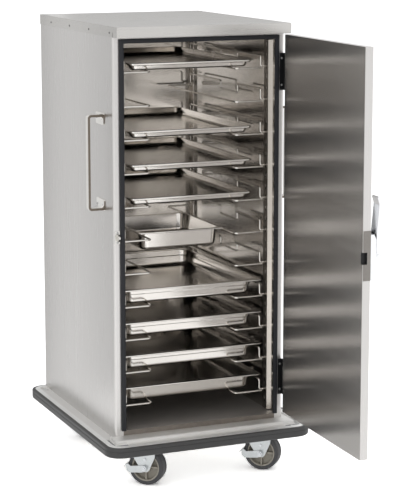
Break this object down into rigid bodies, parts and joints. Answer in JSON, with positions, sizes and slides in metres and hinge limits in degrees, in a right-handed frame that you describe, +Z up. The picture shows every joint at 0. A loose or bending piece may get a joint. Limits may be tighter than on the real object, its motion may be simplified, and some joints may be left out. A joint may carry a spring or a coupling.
{
  "type": "heated holding cabinet",
  "caption": "Tall insulated heated holding cabinet on swivel casters, with a swinging door, wire slides and removable pans.",
  "frame": {"origin": "on the floor, below the middle of the cabinet body", "axes": "+Z up, the door opening faces -Y, +X to the right seen from the front"},
  "size_m": [0.754, 1.4247, 1.575],
  "materials": {
    "stainless": "brushed",
    "liner_steel": "satin",
    "insulation": "glass wool",
    "aluminium": "mill",
    "bumper_rubber": "matt",
    "base_steel": "galvanised",
    "gasket_rubber": "satin",
    "chrome_wire": "polished",
    "polished_steel": "polished",
    "black_steel": "satin",
    "zinc": "bright zinc",
    "screw_steel": "satin",
    "black_plastic": "matt",
    "red_lens": "gloss",
    "cable_jacket": "silicone",
    "chrome": "polished",
    "wheel_rubber": "matt",
    "pan_steel": "satin"
  },
  "bodies": {
    "cabinet": {"top_cap": "stainless", "side_panels": "stainless", "back_panel": "stainless", "front_frame": "stainless", "liner_walls": "liner_steel", "floor_panel": "liner_steel", "insulation": "insulation", "base_deck": "stainless", "bumper_channel": "aluminium", "bumper_strip": "bumper_rubber", "base_frame": "base_steel", "sill_plate": "stainless", "door_gasket": "gasket_rubber", "slide_uprights": "liner_steel", "wire_slides_left": "chrome_wire", "wire_slides_right": "chrome_wire", "bottom_slide_left": "chrome_wire", "bottom_slide_right": "chrome_wire", "side_handles": "polished_steel", "strike_plate": "polished_steel", "hinge_leaves_fixed": "black_steel", "caster_plates": "zinc", "cabinet_screws": "screw_steel", "control_box": "base_steel", "control_plate": "stainless", "thermostat": "black_plastic", "power_switch": "black_plastic", "pilot_lamp": "red_lens", "power_inlet": "black_plastic", "temperature_probe": "polished_steel", "heating_cables": "cable_jacket"},
    "door": {"door_skin": "stainless", "door_inner_panel": "liner_steel", "door_insulation": "insulation", "hinge_leaves_door": "black_steel", "latch_edge_plate": "polished_steel", "latch_housing": "chrome"},
    "latch_lever": {"latch_lever": "chrome"},
    "thermostat_knob": {"thermostat_knob": "black_plastic"},
    "switch_rocker": {"switch_rocker": "black_plastic"},
    "fork_front_left": {"fork_front_left": "zinc"},
    "wheel_front_left": {"wheel_front_left": "wheel_rubber"},
    "brake_front_left": {"brake_front_left": "zinc"},
    "fork_front_right": {"fork_front_right": "zinc"},
    "wheel_front_right": {"wheel_front_right": "wheel_rubber"},
    "brake_front_right": {"brake_front_right": "zinc"},
    "fork_back_left": {"fork_back_left": "zinc"},
    "wheel_back_left": {"wheel_back_left": "wheel_rubber"},
    "fork_back_right": {"fork_back_right": "zinc"},
    "wheel_back_right": {"wheel_back_right": "wheel_rubber"},
    "sheet_pan_1": {"sheet_pan_1": "pan_steel"},
    "sheet_pan_2": {"sheet_pan_2": "pan_steel"},
    "sheet_pan_3": {"sheet_pan_3": "pan_steel"},
    "sheet_pan_4": {"sheet_pan_4": "pan_steel"},
    "steam_pan": {"steam_pan": "pan_steel"},
    "deep_pan_1": {"deep_pan_1": "pan_steel"},
    "deep_pan_2": {"deep_pan_2": "pan_steel"},
    "deep_pan_3": {"deep_pan_3": "pan_steel"},
    "deep_pan_4": {"deep_pan_4": "pan_steel"}
  },
  "joints": [
    {"name": "door_hinge", "type": "hinge", "parent": "cabinet", "child": "door", "pos_m": [0.315, -0.4069, 0.876], "axis": [0, 0, 1], "range_deg": [-88.3, 91.7]},
    {"name": "latch_lever_pivot", "type": "hinge", "parent": "door", "child": "latch_lever", "pos_m": [0.33271, -1.01019, 0.881], "axis": [0.0297, 0.9996, 0], "range_deg": [0, 22]},
    {"name": "thermostat_turn", "type": "hinge", "parent": "cabinet", "child": "thermostat_knob", "pos_m": [0.06, 0.385, 0.281], "axis": [0, -1, 0], "range_deg": [0, 270]},
    {"name": "switch_tilt", "type": "hinge", "parent": "cabinet", "child": "switch_rocker", "pos_m": [-0.024, 0.381, 0.281], "axis": [1, 0, 0], "range_deg": [-16, 0]},
    {"name": "swivel_front_left", "type": "hinge", "parent": "cabinet", "child": "fork_front_left", "pos_m": [-0.218, -0.328, 0.14], "axis": [0, 0, 1], "continuous": true},
    {"name": "roll_front_left", "type": "hinge", "parent": "fork_front_left", "child": "wheel_front_left", "pos_m": [-0.18679, -0.3561, 0.0635], "axis": [0.6691, 0.7431, 0], "continuous": true},
    {"name": "brake_pedal_front_left", "type": "hinge", "parent": "fork_front_left", "child": "brake_front_left", "pos_m": [-0.18679, -0.3561, 0.0635], "axis": [-0.6691, -0.7431, 0], "range_deg": [0, 10]},
    {"name": "swivel_front_right", "type": "hinge", "parent": "cabinet", "child": "fork_front_right", "pos_m": [0.218, -0.328, 0.14], "axis": [0, 0, 1], "continuous": true},
    {"name": "roll_front_right", "type": "hinge", "parent": "fork_front_right", "child": "wheel_front_right", "pos_m": [0.24921, -0.3561, 0.0635], "axis": [0.6691, 0.7431, 0], "continuous": true},
    {"name": "brake_pedal_front_right", "type": "hinge", "parent": "fork_front_right", "child": "brake_front_right", "pos_m": [0.24921, -0.3561, 0.0635], "axis": [-0.6691, -0.7431, 0], "range_deg": [0, 10]},
    {"name": "swivel_back_left", "type": "hinge", "parent": "cabinet", "child": "fork_back_left", "pos_m": [-0.218, 0.262, 0.14], "axis": [0, 0, 1], "continuous": true},
    {"name": "roll_back_left", "type": "hinge", "parent": "fork_back_left", "child": "wheel_back_left", "pos_m": [-0.18679, 0.2339, 0.0635], "axis": [0.6691, 0.7431, 0], "continuous": true},
    {"name": "swivel_back_right", "type": "hinge", "parent": "cabinet", "child": "fork_back_right", "pos_m": [0.218, 0.262, 0.14], "axis": [0, 0, 1], "continuous": true},
    {"name": "roll_back_right", "type": "hinge", "parent": "fork_back_right", "child": "wheel_back_right", "pos_m": [0.24921, 0.2339, 0.0635], "axis": [0.6691, 0.7431, 0], "continuous": true},
    {"name": "sheet_pan_1_slide", "type": "slide", "parent": "cabinet", "child": "sheet_pan_1", "axis": [0, -1, 0], "range_m": [0, 0.5]},
    {"name": "sheet_pan_2_slide", "type": "slide", "parent": "cabinet", "child": "sheet_pan_2", "axis": [0, -1, 0], "range_m": [0, 0.5]},
    {"name": "sheet_pan_3_slide", "type": "slide", "parent": "cabinet", "child": "sheet_pan_3", "axis": [0, -1, 0], "range_m": [0, 0.5]},
    {"name": "sheet_pan_4_slide", "type": "slide", "parent": "cabinet", "child": "sheet_pan_4", "axis": [0, -1, 0], "range_m": [0, 0.5]},
    {"name": "steam_pan_slide", "type": "slide", "parent": "cabinet", "child": "steam_pan", "axis": [0, -1, 0], "range_m": [0, 0.36]},
    {"name": "deep_pan_1_slide", "type": "slide", "parent": "cabinet", "child": "deep_pan_1", "axis": [0, -1, 0], "range_m": [0, 0.5]},
    {"name": "deep_pan_2_slide", "type": "slide", "parent": "cabinet", "child": "deep_pan_2", "axis": [0, -1, 0], "range_m": [0, 0.5]},
    {"name": "deep_pan_3_slide", "type": "slide", "parent": "cabinet", "child": "deep_pan_3", "axis": [0, -1, 0], "range_m": [0, 0.5]},
    {"name": "deep_pan_4_slide", "type": "slide", "parent": "cabinet", "child": "deep_pan_4", "axis": [0, -1, 0], "range_m": [0, 0.5]}
  ]
}
